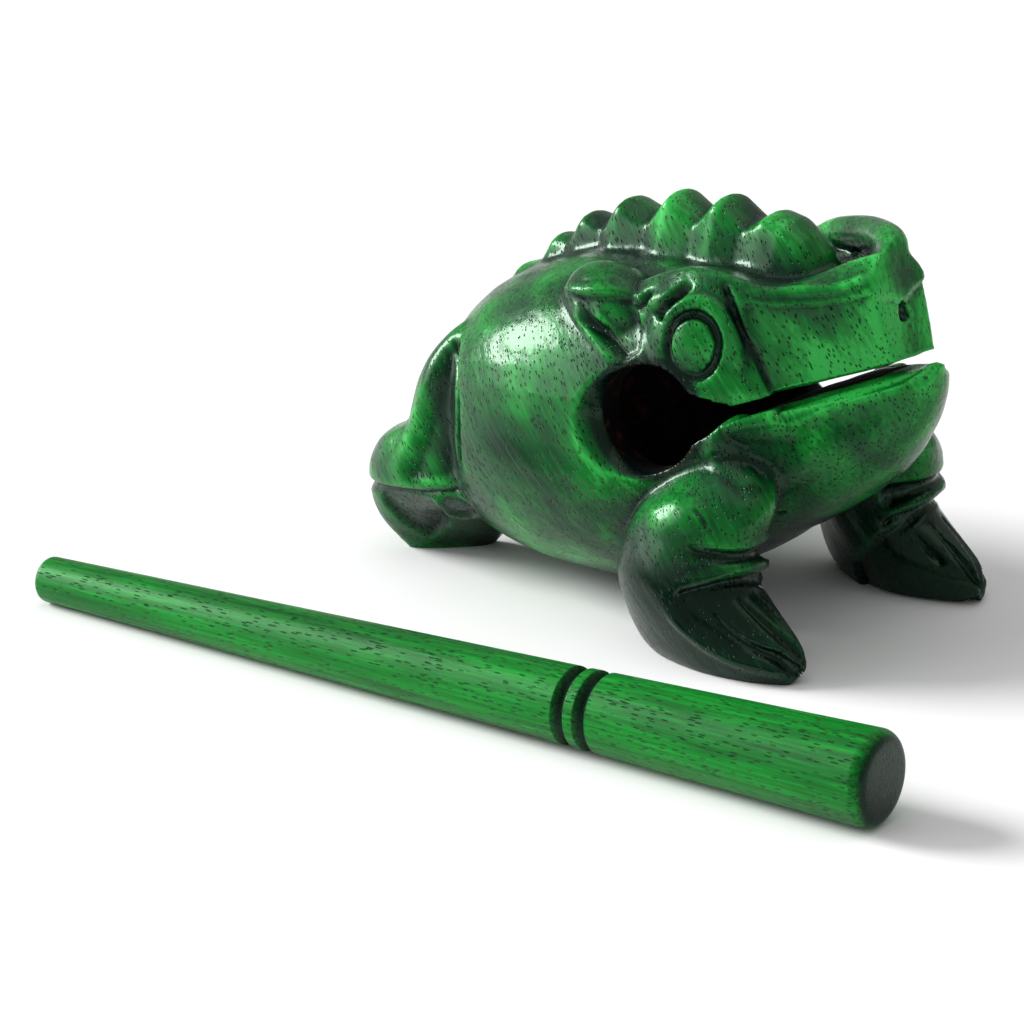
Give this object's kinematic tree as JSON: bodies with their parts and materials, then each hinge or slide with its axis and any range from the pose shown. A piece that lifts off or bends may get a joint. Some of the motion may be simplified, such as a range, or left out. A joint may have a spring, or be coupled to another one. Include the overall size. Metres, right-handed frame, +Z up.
{
  "type": "frog guiro",
  "caption": "Hollow carved wooden frog with a saw-toothed back, round cheek holes and a slit mouth, and a turned wooden stick that scrapes or taps it.",
  "frame": {"origin": "On the floor, under the middle of the box round the frog and its stick.", "axes": "+X runs along the frog to its snout, and nearly along the stick to its thick end. +Y is the frog's left. +Z is up."},
  "size_m": [0.1848, 0.1342, 0.0791],
  "materials": {
    "lacquered_frog_wood": "gloss",
    "stained_stick_wood": "satin"
  },
  "bodies": {
    "root": {"frog_body": "lacquered_frog_wood", "scraper_stick": "stained_stick_wood"}
  },
  "joints": []
}
